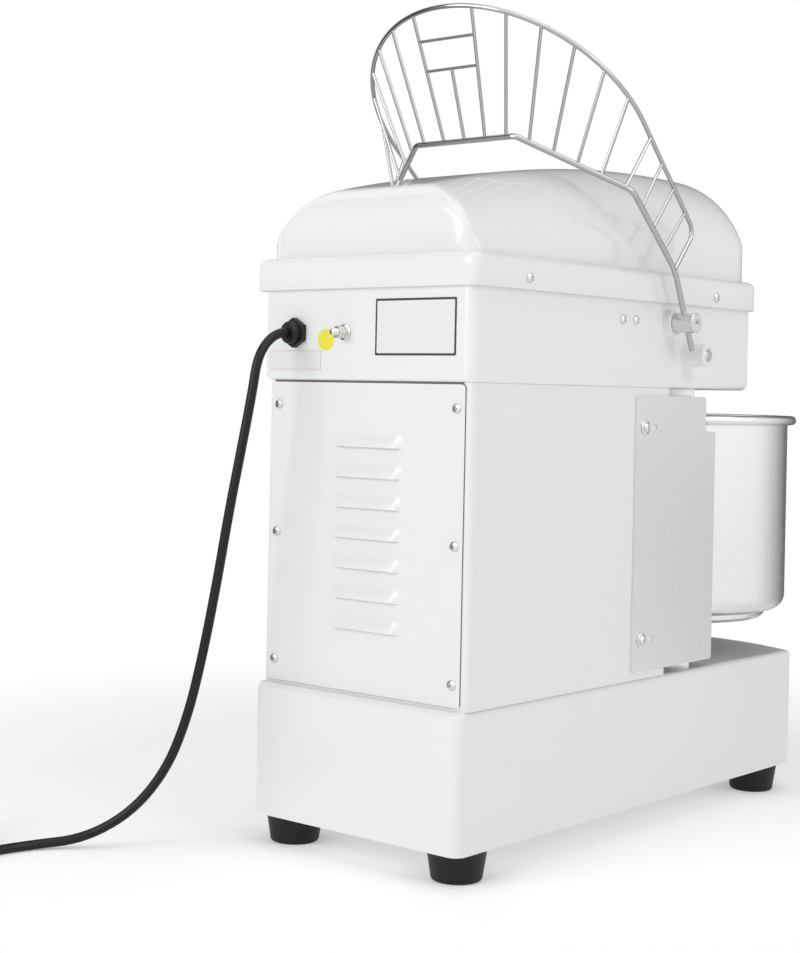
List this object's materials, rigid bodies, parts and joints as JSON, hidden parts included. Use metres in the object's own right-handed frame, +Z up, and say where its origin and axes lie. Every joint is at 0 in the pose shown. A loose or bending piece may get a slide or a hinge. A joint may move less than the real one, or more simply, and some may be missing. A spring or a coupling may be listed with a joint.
{
  "type": "spiral dough mixer",
  "caption": "Small upright spiral dough mixer: a turning bowl, a spiral hook, a breaker bar and a swing-up wire guard on a sheet metal body with a bowed base, a domed cover and a mains lead.",
  "frame": {"origin": "on the floor, under the middle of the length and the width of the machine with the guard swung up, lead left out", "axes": "+Z up, -Y to the front, where the bowl is, +Y to the back, where the lead leaves, +X to the right of an operator who faces the bowl"},
  "size_m": [0.4739, 0.8713, 0.7189],
  "materials": {
    "white_paint": "smooth white gloss powder coat",
    "white_cover": "smooth gloss white moulding",
    "stainless": "satin stainless sheet",
    "polished_wire": "polished stainless wire",
    "turned_steel": "turned and polished stainless steel",
    "black_rubber": "matt black moulded rubber",
    "zinc_screw": "bright plated screws and nuts",
    "white_nylon": "moulded white nylon",
    "inner_steel": "machined steel",
    "cast_housing": "cast and machined",
    "motor_paint": "dark satin paint",
    "belt_rubber": "matt belt rubber",
    "black_plastic": "fine-grained black moulding",
    "green_plastic": "smooth green moulding",
    "red_plastic": "smooth red moulding",
    "cord_jacket": "smooth black rubber jacket"
  },
  "bodies": {
    "machine": {"base_housing": "white_paint", "base_plate": "white_paint", "column_housing": "white_paint", "rear_panel": "white_paint", "head_housing": "white_paint", "head_cover": "white_cover", "side_plates": "stainless", "bowl_shield": "stainless", "breaker_bar": "turned_steel", "rubber_feet": "black_rubber", "foot_bolts": "zinc_screw", "rear_panel_screws": "zinc_screw", "cover_screws": "zinc_screw", "side_plate_screws": "zinc_screw", "switch_bracket_screws": "zinc_screw", "stop_roller_screws": "zinc_screw", "earth_stud": "zinc_screw", "guard_spacers": "white_nylon", "stop_rollers": "white_nylon", "bowl_chains": "inner_steel", "hook_chain": "inner_steel", "motor_shelf": "inner_steel", "switch_bracket": "inner_steel", "bowl_bearing_housing": "cast_housing", "shaft_bearings": "cast_housing", "hook_bearing_housing": "cast_housing", "motor_body": "motor_paint", "drive_belt": "belt_rubber", "cable_gland": "black_plastic", "control_bezels": "black_plastic", "mains_plug": "black_plastic", "safety_switch": "black_plastic", "contactor": "black_plastic", "cord_tie": "black_plastic", "power_cord": "cord_jacket", "cord_coil": "cord_jacket"},
    "bowl_unit": {"bowl": "stainless", "bowl_carrier": "stainless", "bowl_shaft": "inner_steel", "bowl_wheel": "inner_steel"},
    "counter_unit": {"countershaft": "inner_steel"},
    "main_unit": {"main_shaft": "inner_steel", "main_pulley": "cast_housing"},
    "motor_unit": {"motor_shaft": "inner_steel", "motor_pulley": "cast_housing"},
    "hook_unit": {"hook_shaft": "inner_steel", "hook_wheel": "inner_steel", "spiral_hook": "turned_steel", "hook_pin": "turned_steel"},
    "guard": {"guard_rail": "polished_wire", "guard_ring": "polished_wire", "guard_bars": "polished_wire", "guard_pivot_shafts": "turned_steel", "guard_sleeves": "turned_steel", "guard_set_screws": "zinc_screw", "switch_cam": "inner_steel"},
    "start_button_unit": {"start_button": "green_plastic"},
    "stop_button_unit": {"stop_button": "red_plastic"},
    "emergency_stop_unit": {"emergency_stop": "red_plastic"},
    "timer_knob_unit": {"timer_knob": "black_plastic"}
  },
  "joints": [
    {"name": "bowl_spin", "type": "hinge", "parent": "machine", "child": "bowl_unit", "pos_m": [0, -0.16712, 0.2], "axis": [0, 0, 1], "continuous": true},
    {"name": "counter_spin", "type": "hinge", "parent": "machine", "child": "counter_unit", "pos_m": [0, -0.04752, 0.08], "axis": [0, 0, 1], "continuous": true},
    {"name": "main_spin", "type": "hinge", "parent": "machine", "child": "main_unit", "pos_m": [0, 0.07208, 0.2], "axis": [0, 0, 1], "continuous": true},
    {"name": "motor_spin", "type": "hinge", "parent": "machine", "child": "motor_unit", "pos_m": [0, 0.18507, 0.4], "axis": [0, 0, 1], "continuous": true},
    {"name": "hook_spin", "type": "hinge", "parent": "machine", "child": "hook_unit", "pos_m": [0, -0.09713, 0.36], "axis": [0, 0, 1], "continuous": true},
    {"name": "guard_swing", "type": "hinge", "parent": "machine", "child": "guard", "pos_m": [0, 0.00387, 0.4534], "axis": [1, 0, 0], "range_deg": [0, 138]},
    {"name": "start_press", "type": "slide", "parent": "machine", "child": "start_button_unit", "axis": [-1, 0, 0], "range_m": [0, 0.004], "stiffness_N_per_m": 600, "springref_m": -0.002},
    {"name": "stop_press", "type": "slide", "parent": "machine", "child": "stop_button_unit", "axis": [-1, 0, 0], "range_m": [0, 0.004], "stiffness_N_per_m": 600, "springref_m": -0.002},
    {"name": "emergency_press", "type": "slide", "parent": "machine", "child": "emergency_stop_unit", "axis": [-1, 0, 0], "range_m": [0, 0.004], "stiffness_N_per_m": 900, "springref_m": -0.002},
    {"name": "timer_turn", "type": "hinge", "parent": "machine", "child": "timer_knob_unit", "pos_m": [0.116, 0.09187, 0.433], "axis": [-1, 0, 0], "range_deg": [0, 300]}
  ],
  "couplings": [
    {"joint": "counter_spin", "follows": "bowl_spin", "ratio": 3.8333},
    {"joint": "main_spin", "follows": "bowl_spin", "ratio": 14.694},
    {"joint": "hook_spin", "follows": "bowl_spin", "ratio": 7.3472},
    {"joint": "motor_spin", "follows": "bowl_spin", "ratio": 47.022}
  ]
}
